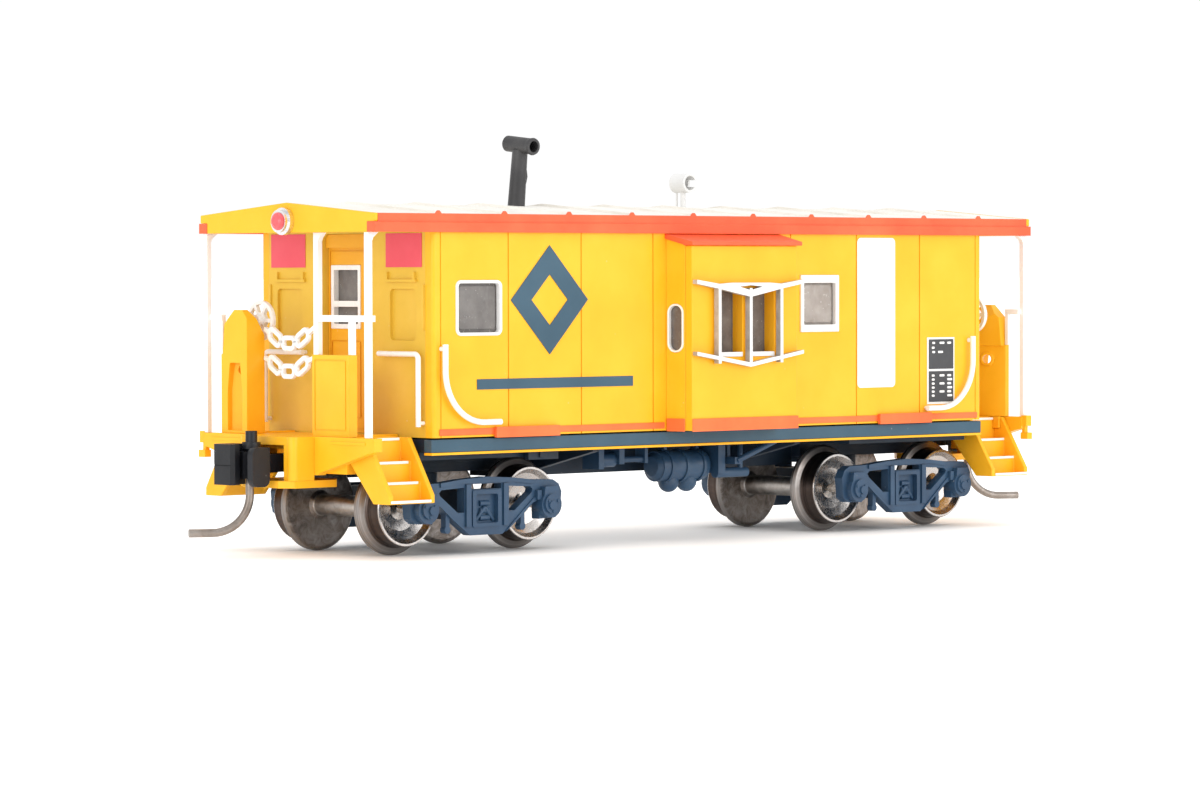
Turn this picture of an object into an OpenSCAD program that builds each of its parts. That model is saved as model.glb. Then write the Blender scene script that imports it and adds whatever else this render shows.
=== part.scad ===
// Small scale model of a bay-window railway caboose.
// X runs along the car, Y across it, Z up from the foot of the wheel flanges.

/* [Body] */
// half length of the cab, over the end walls
cab_hl = 27.41; // [20:0.01:35]
// half width of the cab, over the side walls
cab_hw = 9.09; // [7:0.01:12]
// underside of the cab walls
cab_z0 = 8.1; // [6:0.05:10]
// underside of the roof slab
cab_z1 = 22.35; // [18:0.05:26]
// thickness of side and end walls
wall = 0.8; // [0.5:0.05:1.5]
// width and depth of the grooves between wall panels
seam = 0.1; // [0.05:0.01:0.3]

/* [Bay] */
// half width of the bay face
bay_hw = 5.27; // [3:0.01:8]
// distance of the bay face from the middle of the car
bay_y = 11.35; // [10:0.01:14]
// top of the bay face
bay_z1 = 21.1; // [18:0.05:22]

/* [Roof] */
// half length of the roof with its end plates
roof_hl = 32.72; // [28:0.01:40]
// half width of the roof slab
roof_hw = 9.1; // [8:0.01:12]
// height of the eaves
eave_z = 23.21; // [20:0.01:26]
// height of the ridge
ridge_z = 23.97; // [20:0.01:27]
// distance between roof seams
rib_pitch = 6.0; // [3:0.1:10]
// place of the smoke jack along the car
jack_x = -11.6; // [-20:0.1:20]
// lean of the smoke jack towards the near side
jack_lean = 6; // [0:0.5:8]
// place of the horn along the car
horn_x = 4.95; // [-20:0.05:20]

/* [Ends] */
// middle plane of the end railings
rail_x = 32.2; // [30:0.05:34]
// outer face of the end beams
beam_x = 32.65; // [31:0.05:35]
// top of the end platforms
deck_z = 8.2; // [7:0.05:9]

/* [Trucks] */
// distance of each truck centre from the middle of the car
truck_x = 21.1; // [15:0.1:26]
// half of the truck wheelbase
half_base = 5.65; // [5.2:0.05:5.7]
// radius of the wheel flange, which is also the height of the axles
flange_r = 3.2; // [2.5:0.05:4]
// radius of the wheel tread
tread_r = 2.6; // [2:0.05:3.5]
// distance of the side frame face from the middle of the car
frame_y = 7.35; // [6.5:0.05:8]

/* [Couplers] */
// distance of the coupler pivots from the middle of the car
coup_x = 31.9; // [29:0.05:33]
// height of the coupler centre line
coup_z = 6.3; // [5:0.05:7]

/* [Hidden] */
// edge of the slanted cheeks seen from above, and its angle
cheek_x0 = bay_hw + 0.085;
cheek_x1 = 5.62;
cheek_a = atan((cheek_x1 - cheek_x0) / (bay_y - 0.61 - cab_hw - 0.01));

// ---------- helpers ----------
// copies at both ends, the second turned half round
module both() { children(); rotate([0, 0, 180]) children(); }

// box from its lowest corner to its highest corner
module bx(a, b) { translate(a) cube([b[0] - a[0], b[1] - a[1], b[2] - a[2]]); }

// plate cut from a Y-Z outline, from x0 to x1
module yz(x0, x1) {
  translate([x0, 0, 0]) rotate([90, 0, 90]) linear_extrude(x1 - x0) children();
}

// plate cut from an X-Z outline, from y0 to y1
module xz(y0, y1) {
  translate([0, y1, 0]) rotate([90, 0, 0]) linear_extrude(y1 - y0) children();
}

// plate cut from an X-Y outline, from z0 to z1
module xy(z0, z1) { translate([0, 0, z0]) linear_extrude(z1 - z0) children(); }

// rectangle with rounded corners, from a to b
module rrect(a, b, r) {
  translate([a[0] + r, a[1]]) square([b[0] - a[0] - 2 * r, b[1] - a[1]]);
  translate([a[0], a[1] + r]) square([b[0] - a[0], b[1] - a[1] - 2 * r]);
  for (x = [a[0] + r, b[0] - r], y = [a[1] + r, b[1] - r]) translate([x, y]) circle(r);
}

// rectangular frame outline of width t inside a and b
module ring2(a, b, t, r) {
  difference() {
    rrect(a, b, r);
    rrect([a[0] + t, a[1] + t], [b[0] - t, b[1] - t], max(r - t, 0.05));
  }
}

// round bar from p to q with radius r
module bar(p, q, r) {
  d = [q[0] - p[0], q[1] - p[1], q[2] - p[2]];
  l = norm(d);
  translate(p) rotate([0, acos(d[2] / l), atan2(d[1], d[0])]) cylinder(h = l, r = r);
}

// quarter bend of a round wire in the X-Z plane, from straight down to along -X
module bend(rb, r, a = 90) {
  rotate([90, 0, 0]) rotate([0, 0, -a]) rotate_extrude(angle = a) translate([rb, 0]) circle(r);
}

// ---------- roof ----------
module roof_outline(up) {
  polygon([[-roof_hw, cab_z1], [roof_hw, cab_z1], [roof_hw, eave_z + up],
           [0, ridge_z + up], [-roof_hw, eave_z + up]]);
}

module roof() color([0.93, 0.92, 0.88]) difference() {
  union() {
    yz(-roof_hl + 0.34, roof_hl - 0.34) roof_outline(0);
    for (i = [-4.5 : 1 : 4.5])
      yz(i * rib_pitch - 0.16, i * rib_pitch + 0.16)
        polygon([[-roof_hw, eave_z - 0.2], [roof_hw, eave_z - 0.2], [roof_hw, eave_z + 0.14],
                 [0, ridge_z + 0.16], [-roof_hw, eave_z + 0.14]]);
  }
  // seats for the smoke jack and the horn
  translate([jack_x, 0, 23.4]) cylinder(h = 2, r = 0.66);
  translate([horn_x, 0, 23.4]) cylinder(h = 2, r = 0.31);
}

module roof_fascia() color([1.0, 0.42, 0.28]) both() {
  yz(-roof_hl + 0.345, roof_hl - 0.345)
    polygon([[-roof_hw - 0.14, 21.95], [-cab_hw - 0.01, 21.95], [-cab_hw - 0.01, cab_z1 - 0.1],
             [-roof_hw, cab_z1 - 0.1], [-roof_hw, eave_z], [-roof_hw - 0.14, eave_z]]);
  // lower lip that wraps a little way round the roof corners
  yz(-roof_hl + 0.02, roof_hl - 0.02)
    polygon([[-roof_hw - 0.27, 21.95], [-roof_hw - 0.05, 21.95], [-roof_hw - 0.05, 22.64],
             [-roof_hw - 0.2, 22.64], [-roof_hw - 0.27, 22.58]]);
  for (m = [0, 1]) mirror([m, 0, 0]) bx([-roof_hl - 0.02, -roof_hw - 0.27, 21.95], [-roof_hl + 0.33,
      -8.51, 22.64]);
  for (i = [-4.5 : 1 : 4.5])
    translate([i * rib_pitch, 0, 0]) xz(-roof_hw - 0.14, -roof_hw)
      polygon([[-0.3, eave_z - 0.05], [0.3, eave_z - 0.05], [0.08, eave_z + 0.2], [-0.08, eave_z + 0.2]]);
}

module gable_ends() color([0.97, 0.75, 0.2]) both()
  yz(-roof_hl, -roof_hl + 0.335)
    polygon([[-8.5, 21.95], [8.5, 21.95], [8.5, 22.65], [roof_hw + 0.14, 22.65], [roof_hw + 0.14, eave_z],
             [0, ridge_z + 0.02], [-roof_hw - 0.14, eave_z], [-roof_hw - 0.14, 22.65], [-8.5, 22.65]]);

// ---------- cab walls ----------
module side_cuts() {
  // left window, right window and the opening into the bay
  xz(-10, -7) {
    rrect([-25.41, 14.94], [-21.21, 18.73], 0.46);
    translate([7.86, 14.87]) square([4.0, 4.15]);
    translate([-4.6, 7]) square([9.2, 18]);
  }
  for (x = [-20.6, -13.8, -6.9, 6.9, 13.8, 20.6])
    bx([x - seam / 2, -10, cab_z0 - 1], [x + seam / 2, -cab_hw + 0.09, cab_z1 + 1]);
  for (s = [-1, 1]) bx([s * 26.75 - seam / 2, -10, cab_z0 - 1], [s * 26.75 + seam / 2, -cab_hw + 0.06,
      cab_z1 + 1]);
}

module side_wall() color([1.0, 0.84, 0.3])
  difference() {
    union() {
      bx([-cab_hl, -cab_hw + 0.3, cab_z0], [cab_hl, -cab_hw + wall, cab_z1 - 0.02]);
      bx([-cab_hl + 0.3, -cab_hw, cab_z0], [cab_hl - 0.3, -cab_hw + wall, cab_z1 - 0.02]);
      for (s = [-1, 1]) translate([s * (cab_hl - 0.3), -cab_hw + 0.3, cab_z0])
        cylinder(h = cab_z1 - 0.02 - cab_z0, r = 0.3);
    }
    side_cuts();
  }

// the part of a side wall between x0 and x1
module wall_part(x0, x1) intersection() { side_wall(); bx([x0, -10, 0], [x1, -8, 30]); }

module side_near_l() wall_part(-28, -4.5);
module side_near_r() wall_part(4.5, 28);
module side_far_l() rotate([0, 0, 180]) wall_part(-28, -4.5);
module side_far_r() rotate([0, 0, 180]) wall_part(4.5, 28);

// strips of the side walls above and below the openings into the bays
module bay_headers() color([1.0, 0.84, 0.3]) both() {
  bx([-4.59, -cab_hw + 0.01, 20.6], [4.59, -cab_hw + wall, cab_z1 - 0.02]);
  bx([-4.59, -cab_hw + 0.01, cab_z0], [4.59, -cab_hw + wall, 9.2]);
}

module end_wall() color([0.97, 0.75, 0.2]) {
  difference() {
    yz(-cab_hl, -cab_hl + wall) difference() {
      translate([-cab_hw + wall + 0.01, cab_z0]) square([2 * (cab_hw - wall) - 0.02,
          cab_z1 - 0.02 - cab_z0]);
      rrect([-2.48, deck_z + 0.05], [2.48, 21.9], 0.4);
    }
    // sunk panels beside the door
    for (s = [-1, 1]) yz(-cab_hl - 1, -cab_hl + 0.22)
      rrect([s * 6.0 - 1.35, 14.65], [s * 6.0 + 1.35, 18.13], 0.3);
  }
  for (s = [-1, 1]) {
    // ribs near the corners and ledges above the panels
    bx([-cab_hl - 0.12, s * 8.1 - 0.12, 15.35], [-cab_hl + 0.1, s * 8.1 + 0.12, 18.43]);
    bx([-cab_hl - 0.2, s * 5.85 - 1.62, 18.6], [-cab_hl + 0.1, s * 5.85 + 1.62, 18.78]);
    for (t = [-1, 1]) bx([-cab_hl - 0.2, s * 5.85 + t * 1.4 - 0.1, 18.7], [-cab_hl + 0.1,
        s * 5.85 + t * 1.4 + 0.1, 19.28]);
  }
}

module end_wall_a() end_wall();
module end_wall_b() rotate([0, 0, 180]) end_wall();

// doors set back in the end walls, each with its window opening and a header above
module end_doors() both() color([0.93, 0.68, 0.17])
  difference() {
    union() {
      bx([-cab_hl + wall + 0.01, -2.9, deck_z + 0.02], [-cab_hl + wall + 0.5, 2.9, 22.2]);
      // leaf that fills the opening, and the header above it
      yz(-cab_hl + 0.56, -cab_hl + wall + 0.02) rrect([-2.46, deck_z + 0.07], [2.46, 21.88], 0.42);
      yz(-cab_hl + 0.3, -cab_hl + 0.6) {
        rrect([-2.46, 20.95], [2.46, 21.88], 0.42);
        translate([-2.46, 20.95]) square([4.92, 0.45]);
      }
      // knob
      translate([-cab_hl + 0.34, -1.75, 13.2]) rotate([0, 90, 0]) cylinder(h = 0.3, r = 0.2);
    }
    yz(-cab_hl - 1, -cab_hl + 3) translate([-0.98, 15.38]) square([3.12, 4.39]);
    // panel lines of the door leaf
    yz(-cab_hl - 1, -cab_hl + 0.66) ring2([-0.98, 9.2], [2.14, 14.6], 0.12, 0.1);
    yz(-cab_hl - 1, -cab_hl + 0.64) ring2([-2.2, 8.5], [2.3, 20.8], 0.1, 0.1);
  }

// ---------- bay ----------
module bay_faces() color([1.0, 0.84, 0.3]) both()
  difference() {
    xy(cab_z0, bay_z1)
      polygon([[-bay_hw, -bay_y], [bay_hw, -bay_y], [bay_hw + 0.08, -bay_y + 0.6], [-bay_hw - 0.08,
          -bay_y + 0.6]]);
    for (s = [-1, 1]) bx([s * 1.6 - 1.3, -13, 13.25], [s * 1.6 + 1.3, -9, 17.95]);
  }

// jamb boxes that set the bay panes back from the face
module bay_jambs() color([0.9, 0.62, 0.1]) both()
  for (s = [-1, 1]) xz(-bay_y + 0.61, -bay_y + 1.5) difference() {
    translate([s * 1.6 - 1.5, 13.05]) square([3.0, 5.1]);
    translate([s * 1.6 - 1.3, 13.25]) square([2.6, 4.7]);
  }

// the plane of the right cheek, with its origin in the middle of the slot
module cheek_plane() translate([(cheek_x0 + cheek_x1) / 2,
    -bay_y + 0.61 + (bay_y - 0.61 - cab_hw - 0.01) / 2, 0])
  rotate([0, 0, -cheek_a]) children();

module bay_cheeks() color([0.98, 0.76, 0.18]) both() for (m = [0, 1]) mirror([m, 0, 0])
  difference() {
    xy(cab_z0, 21.56)
      polygon([[cheek_x0, -bay_y + 0.61], [cheek_x1, -cab_hw - 0.01],
               [4.95, -cab_hw - 0.01], [cheek_x0 - 0.6, -bay_y + 0.61]]);
    cheek_plane() yz(-3, 3) rrect([-0.7, 13.59], [0.7, 17.01], 0.66);
    // top edge follows the slope of the canopy
    yz(0, 10) polygon([[-12, 20.93], [-bay_y + 0.6, 21.16], [-cab_hw - 0.01, 21.57], [-cab_hw, 23], [-12,
        23]]);
  }

// thin sloping covers over the bays
module bay_canopies() color([1.0, 0.42, 0.28]) both() intersection() {
  yz(-6, 6) polygon([[-cab_hw - 0.01, 21.58], [-bay_y + 0.6, 21.17], [-bay_y + 0.59, 21.11], [-11.66,
      21.11], [-11.66, 21.38], [-cab_hw - 0.01, 21.93]]);
  xy(20.8, 22.2) polygon([[-5.78, -cab_hw - 0.01], [-5.5, -11.66], [5.5, -11.66], [5.78, -cab_hw - 0.01]]);
}

// ---------- underframe ----------
module floor() color([0.12, 0.17, 0.24]) difference() {
  union() {
    bx([-27.3, -8.2, 7.1], [27.3, 8.2, 8.0]);
    // thicker parts over the trucks
    for (s = [-1, 1]) bx([s * 21.0 - 6.3, -7.5, 6.55], [s * 21.0 + 6.3, 7.5, 7.2]);
  }
  for (s = [-1, 1]) translate([s * truck_x, 0, 6]) cylinder(h = 1.1, r = 1.56);
}

module side_sills() color([0.2, 0.31, 0.4]) both() {
  bx([-27.5, -9.0, 7.11], [27.5, -8.21, 7.99]);
}

module sill_strips() color([0.95, 0.73, 0.17]) both()
  bx([-27.5, -9.04, 6.93], [27.5, -8.21, 7.1]);

module lower_stripe() color([1.0, 0.42, 0.28]) both() {
  bx([-26.9, -cab_hw - 0.08, 8.24], [-5.85, -cab_hw - 0.01, 8.68]);
  bx([5.85, -cab_hw - 0.08, 8.24], [26.9, -cab_hw - 0.01, 8.68]);
  bx([-22.0, -cab_hw - 0.35, 8.02], [-16.1, -cab_hw - 0.09, 8.74]);
  bx([16.0, -cab_hw - 0.35, 8.02], [21.6, -cab_hw - 0.09, 8.78]);
  // feet of the bay cheeks and of the bay face
  for (m = [0, 1]) mirror([m, 0, 0]) cheek_plane() bx([0.01, -0.82, 8.04], [0.1, 0.75, 8.95]);
  bx([-bay_hw - 0.04, -bay_y - 0.1, 8.04], [bay_hw + 0.04, -bay_y - 0.01, 8.95]);
}

module center_sill() color([0.12, 0.17, 0.24]) difference() {
  union() {
    bx([-14.65, -1.6, 4.9], [14.65, 1.6, 7.09]);
    for (s = [-1, 1]) {
      bx([s * 21.0 - 6.35, -2.45, 5.45], [s * 21.0 + 6.35, 2.45, 6.54]);
      bx([s * 28.4 - 1.1, -2.4, 5.45], [s * 28.4 + 1.1, 2.4, 7.09]);
    }
  }
  for (s = [-1, 1]) translate([s * truck_x, 0, 5]) cylinder(h = 3, r = 1.56);
}

// arms and brackets that reach out from the middle to the side sills
module cross_arms() color([0.12, 0.17, 0.24]) both() {
  for (x = [-11.5, 8.6]) yz(x - 0.3, x + 0.3) polygon([[-1.61, 5.2], [-1.61, 7.09], [-8.1, 7.09], [-8.1,
      6.75]]);
  // plates that hang below the side sills near the trucks
  bx([-17.9, -8.15, 6.35], [-15.1, -7.75, 7.09]);
  bx([-16.95, -8.3, 6.5], [-16.3, -8.16, 6.9]);
}

module metal_weight() color([0.4, 0.4, 0.42])
  bx([-20, -7.2, 8.02], [20, 7.2, 11.6]);

// ---------- platforms ----------
module platforms() color([0.98, 0.78, 0.22]) both() {
  bx([-beam_x + 0.71, -5.59, 7.3], [-27.52, 5.59, deck_z]);
  bx([-31.55, -6.4, 7.3], [-28.27, 6.4, deck_z]);
  bx([-beam_x + 0.71, 5.5, 7.3], [-31.4, 7.3, deck_z]);
  // toe strips of the deck
  for (s = [-1, 1]) bx([-30.5, s * 5.44 - 0.15, deck_z - 0.1], [-27.52, s * 5.44 + 0.15, deck_z + 0.12]);
}

module end_beams() color([0.98, 0.78, 0.22]) both()
  difference() {
    union() {
      yz(-beam_x, -beam_x + 0.7)
        polygon([[-9.1, deck_z], [9.1, deck_z], [9.1, 7.3], [8.6, 7.2], [3.4, 5.75], [3.2, 5.6],
                 [-3.2, 5.6], [-3.4, 5.75], [-8.6, 7.2], [-9.1, 7.3]]);
      // inner beams on both sides of the coupler housing
      for (s = [-1, 1]) bx([-beam_x + 0.6, s * 4.15 - 1.45, 5.7], [-31.3, s * 4.15 + 1.45, 7.29]);
      // small brackets at the tips
      bx([-beam_x + 0.02, 9.03, 7.5], [-beam_x + 0.6, 9.53, 8.3]);
      bx([-beam_x - 0.1, 8.8, 6.5], [-beam_x + 0.45, 9.5, 7.0]);
      bx([-beam_x + 0.05, 8.9, 6.9], [-beam_x + 0.4, 9.2, 7.6]);
      // raised line under the deck edge and rivets
      bx([-beam_x - 0.06, -8.2, 7.72], [-beam_x + 0.1, -4.6, 7.92]);
      bx([-beam_x - 0.06, 4.6, 7.72], [-beam_x + 0.1, 8.2, 7.92]);
    }
    bx([-beam_x - 1, -1.9, 5], [-31, 1.9, 7.28]);
  }

// housings that hold the couplers
module coupler_pockets() color([0.98, 0.78, 0.22]) both()
  difference() {
    union() {
      bx([-34.1, -2.9, 5.25], [-beam_x - 0.01, 2.9, deck_z]);
      // rounded front corners
      for (s = [-1, 1]) translate([-34.1, s * 2.45, 5.25]) cylinder(h = deck_z - 5.25, r = 0.45);
      bx([-34.5, -2.45, 5.25], [-34.0, 2.45, deck_z]);
    }
    bx([-36, -1.9, 5], [-32, 1.9, 7.65]);
  }

// plates under the coupler housings, each with the post its coupler turns on
module pocket_lids() color([0.98, 0.78, 0.22]) both() {
  xy(4.75, 5.24) polygon([[-34.3, -2.9], [-30.7, -2.9], [-29.6, -1.6], [-29.6, 1.6], [-30.7, 2.9],
      [-34.3, 2.9]]);
  xy(4.75, 5.24) polygon([[-35.0, -1.9], [-34.2, -2.9], [-34.2, 2.9], [-35.0, 1.9]]);
  translate([-coup_x, 0, 5.1]) cylinder(h = 2.1, r = 0.5);
}

// ---------- steps ----------
module step_plate(x0, x1)
  yz(x0, x1) polygon([[-9.77, 3.8], [-8.11, 3.8], [-5.62, 6.6], [-5.62, 8.15], [-7.42, 8.15], [-9.77,
      4.35]]);

module steps() color([0.98, 0.78, 0.22]) both() {
  step_unit();
  // the deck rests on the side plate near the brake stand
  difference() {
    mirror([0, 1, 0]) step_unit();
    bx([-33, 5, 7.29], [-31.39, 7.31, 9]);
  }
}

// two side plates with a closed flight of treads and risers between them
module step_unit() {
  step_plate(-31.93, -31.56);
  step_plate(-28.26, -27.9);
  yz(-31.6, -28.2)
    polygon([[-9.77, 3.8], [-9.77, 4.0], [-8.72, 4.0], [-8.72, 5.22], [-7.72, 5.22], [-7.72, 6.56],
             [-6.68, 6.56], [-6.68, 8.15], [-6.41, 8.15], [-6.41, 6.35], [-8.11, 3.8]]);
}

module step_edges() color([0.97, 0.97, 0.95]) both() for (s = [0, 1]) mirror([0, s, 0]) {
  bx([-31.8, -9.83, 3.86], [-28.25, -9.78, 4.04]);
  bx([-31.5, -8.78, 5.06], [-28.5, -8.73, 5.24]);
  bx([-31.5, -7.78, 6.4], [-28.5, -7.73, 6.58]);
  bx([-31.5, -6.74, 7.94], [-28.4, -6.69, 8.12]);
}

// ---------- end fittings ----------
module box_posts() color([1.0, 0.83, 0.29]) both()
  difference() {
    bx([-rail_x, -5.95, deck_z + 0.01], [-rail_x + 0.75, -2.15, 13.7]);
    // shallow line around the front
    yz(-rail_x - 1, -rail_x + 0.06) ring2([-5.7, 8.6], [-2.4, 13.4], 0.1, 0.05);
  }

module brake_stands() color([1.0, 0.83, 0.29]) both()
  difference() {
    union() {
      xy(deck_z + 0.01, 13.65) polygon([[-rail_x, 4.85], [-rail_x, 7.65], [-rail_x + 0.4, 7.65],
          [-rail_x + 1.6, 4.85]]);
      intersection() {
        yz(-rail_x, -rail_x + 1.6)
          polygon([[4.85, 13.6], [7.5, 13.6], [7.3, 15.75], [6.25, 16.7], [5.35, 16.7], [4.85, 16.1]]);
        xz(4, 8) polygon([[-rail_x, 13.6], [-rail_x + 1.6, 13.6], [-rail_x + 1.6, 14.95], [-rail_x + 0.5,
            16.7], [-rail_x, 16.7]]);
        xy(13, 17) polygon([[-rail_x, 4.85], [-rail_x, 7.65], [-rail_x + 0.7, 7.65], [-rail_x + 1.6,
            4.85]]);
      }
      stand_back() translate([0, 0, -0.14]) cylinder(h = 0.3, r = 0.52);
    }
    // tapering slot in the front and round hole in the back
    intersection() {
      yz(-rail_x - 1, -rail_x + 2) polygon([[5.62, 13.05], [6.72, 13.05], [6.95, 11.2], [6.95, 8.4],
          [5.4, 8.4], [5.4, 11.2]]);
      xy(8, 14) polygon([[-rail_x - 1, 5], [-rail_x - 1, 7.2], [-rail_x + 0.3, 7.2], [-rail_x + 1.24, 5]]);
    }
    stand_back() translate([0, 0, -0.5]) cylinder(h = 1, r = 0.34);
  }

// places a round feature on the slanted back of a stand
module stand_back() translate([-rail_x + 0.98, 6.3, 12.57]) rotate([0, 0, 23.2]) rotate([0, 90,
    0]) children();

module brake_wheels() color([0.94, 0.94, 0.93]) both()
  translate([-30.3, 5.75, 15.95]) rotate([0, 90, 0]) difference() {
    union() {
      cylinder(h = 0.3, r = 1.38);
      translate([0, 0, -0.45]) cylinder(h = 0.8, r = 0.42);
      translate([0, 0, 0.3]) cylinder(h = 0.12, r = 0.2);
    }
    // openings between the spokes
    for (a = [0 : 60 : 300]) rotate([0, 0, a]) translate([0, 0, -1]) linear_extrude(3)
      polygon([[0.56, -0.2], [1.05, -0.44], [1.15, 0], [1.05, 0.44], [0.56, 0.2]]);
  }

module end_rails() color([0.97, 0.97, 0.96]) both() {
  // corner posts with a small gusset under the roof
  bx([-rail_x - 0.38, -8.46, deck_z + 0.01], [-rail_x - 0.02, -8.02, 21.94]);
  xz(-8.46, -8.02) polygon([[-rail_x - 0.1, 21.94], [-rail_x + 0.55, 21.94], [-rail_x + 0.1, 21.6],
                            [-rail_x - 0.1, 21.2]]);
  bx([-rail_x - 0.38, 8.68, deck_z + 0.01], [-rail_x - 0.02, 9.07, 21.94]);
  xz(8.68, 9.07) polygon([[-rail_x - 0.1, 21.94], [-rail_x + 0.55, 21.94], [-rail_x + 0.1, 21.6],
                          [-rail_x - 0.1, 21.2]]);
  // inner post on the box, its rail and stub
  bx([-rail_x + 0.03, -2.74, 13.71], [-rail_x + 0.43, -2.26, 21.94]);
  yz(-rail_x + 0.03, -rail_x + 0.43) polygon([[-2.66, 21.94], [-3.2, 21.94], [-2.86, 21.6], [-2.66, 21.2]]);
  bx([-rail_x - 0.1, -8.3, 15.95], [-rail_x + 0.38, -2.5, 16.38]);
  bx([-rail_x + 0.3, -5.93, 13.71], [-rail_x + 0.68, -5.58, 16.3]);
  // rail and stub between the stand and the far corner post
  bx([-rail_x - 0.1, 7.48, 15.97], [-rail_x + 0.3, 8.8, 16.37]);
  bx([-rail_x + 0.02, 7.52, 13.66], [-rail_x + 0.32, 7.8, 16.1]);
}

// oval link of length l and width w, cut from round-edged plate
module link(l, w, t) difference() { oval(l, w); oval(l - 2 * t, w - 2 * t); }
module oval(l, w) {
  square([l - w, w], center = true);
  for (s = [-1, 1]) translate([s * (l - w) / 2, 0]) circle(w / 2);
}

// chains of moulded links, hung from the post (s = 0) to the stand
module chain_strip() translate([-rail_x + 0.36, -2.43, 0]) rotate([0, 0, -9.6]) yz(-0.15, 0.15) children();

// straight connector between two points
module tie(p, q, w) {
  d = q - p;
  translate(p) rotate(atan2(d[1], d[0])) translate([0, -w / 2]) square([norm(d), w]);
}

// three links with their middles at a, b and c, tied to the points p and q
module links(p, a, b, c, q) {
  tie(p, a - [0.82, -0.34], 0.3);
  translate(a) rotate(-25) link(1.98, 1.08, 0.33);
  translate(b) link(1.9, 1.05, 0.33);
  translate(c) rotate(25) link(1.98, 1.08, 0.33);
  tie(c + [0.82, 0.34], q, 0.3);
}

module chains() color([0.97, 0.97, 0.96]) both() {
  chain_strip() links([0.3, 15.6], [2.13, 14.81], [3.99, 14.44], [5.86, 14.81], [7.3, 15.4]);
  chain_strip() links([0.3, 13.55], [2.2, 12.9], [4.03, 12.52], [5.88, 12.9], [7.3, 13.4]);
}

// curved iron beside the steps, for the left end of the near side
module side_iron(y, r) {
  translate([-26.72, y, 12.6]) cylinder(h = 1.8, r = r);
  translate([-23.22, y, 12.6]) mirror([1, 0, 0]) bend(3.5, r);
  translate([-23.22, y, 9.1]) rotate([0, 90, 0]) cylinder(h = 1.5, r = r);
  translate([-26.72, -cab_hw - 0.01, 14.1]) rotate([90, 0, 0]) cylinder(h = abs(y) - cab_hw, r = r - 0.04);
  translate([-22.0, -cab_hw - 0.01, 9.1]) rotate([90, 0, 0]) cylinder(h = abs(y) - cab_hw, r = r - 0.04);
}

// angled iron beside the end door
module end_iron(x, r) {
  translate([x, 4.0, 13.75]) rotate([-90, 0, 0]) cylinder(h = 3.75, r = r);
  translate([x, 7.75, 13.4]) rotate([0, 0, 90]) bend2(0.35, r);
  translate([x, 8.1, 8.85]) cylinder(h = 4.55, r = r);
  translate([x, 4.25, 13.75]) rotate([0, 90, 0]) cylinder(h = -cab_hl - 0.01 - x, r = r - 0.04);
  translate([x, 8.1, 9.1]) rotate([0, 90, 0]) cylinder(h = -cab_hl - 0.01 - x, r = r - 0.04);
}

module bend2(rb, r) rotate([90, 0, 0]) rotate_extrude(angle = 90) translate([rb, 0]) circle(r);

module grab_irons() color([0.97, 0.97, 0.96]) both() {
  side_iron(-9.55, 0.2);
  mirror([1, 0, 0]) translate([0.72, 0, 0]) side_iron(-9.55, 0.2);
  end_iron(-27.9, 0.18);
  mirror([0, 1, 0]) end_iron(-27.9, 0.18);
}

module end_lamps() color([0.85, 0.12, 0.15]) both()
  translate([-roof_hl - 0.01, 0, 22.72]) rotate([0, -90, 0]) {
    cylinder(h = 0.72, r = 0.6);
    translate([0, 0, 0.72]) cylinder(h = 0.1, r1 = 0.6, r2 = 0.52);
    translate([0, 0, 0.82]) cylinder(h = 0.08, r1 = 0.52, r2 = 0.34);
  }

module lamp_rings() color([0.75, 0.75, 0.76]) both()
  translate([-roof_hl - 0.64, 0, 22.72]) rotate([0, 90, 0]) difference() {
    union() {
      cylinder(h = 0.63, r = 0.78);
      translate([0, 0, 0.3]) cylinder(h = 0.33, r = 0.93);
    }
    translate([0, 0, -1]) cylinder(h = 3, r = 0.61);
  }

// ---------- roof fittings ----------
module smoke_jack() color([0.24, 0.27, 0.3]) translate([jack_x, 0, 23.75]) rotate([jack_lean, 0, 0]) {
  difference() {
    union() {
      cylinder(h = 4.2, r1 = 0.62, r2 = 0.55);
      translate([0, 1.3, 4.52]) rotate([90, 0, 0]) cylinder(h = 2.4, r = 0.57);
      translate([0, 1.3, 4.52]) rotate([-90, 0, 0]) cylinder(h = 0.14, r1 = 0.57, r2 = 0.45);
      translate([0, -1.0, 4.52]) rotate([90, 0, 0]) cylinder(h = 0.3, r1 = 0.57, r2 = 0.62);
      translate([0, -1.29, 4.52]) rotate([90, 0, 0]) cylinder(h = 0.12, r1 = 0.62, r2 = 0.58);
    }
    translate([0, 0.9, 4.52]) rotate([90, 0, 0]) cylinder(h = 6, r = 0.4);
  }
  // latch on the stack
  xz(-0.12, 0.12) polygon([[0.45, 1.75], [0.7, 1.8], [0.78, 2.3], [0.68, 2.75], [0.45, 2.9]]);
}

// C-shaped horn on a short post, with a bracing wire
module roof_vent() color([0.93, 0.93, 0.93]) translate([horn_x, 0, 0]) {
  translate([0, 0, 23.5]) cylinder(h = 1.75, r = 0.2);
  translate([0, 0.75, 25.76]) rotate([90, 0, 0]) difference() {
    cylinder(h = 1.5, r = 0.71);
    translate([0, 0, 0.35]) cylinder(h = 3, r = 0.53);
    // gap that opens the ring towards one side
    translate([0, -0.28, 0.75]) cube([2, 0.5, 2]);
  }
  translate([-0.05, 0.6, 23.6]) cylinder(h = 1.6, r = 0.08);
}

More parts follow.
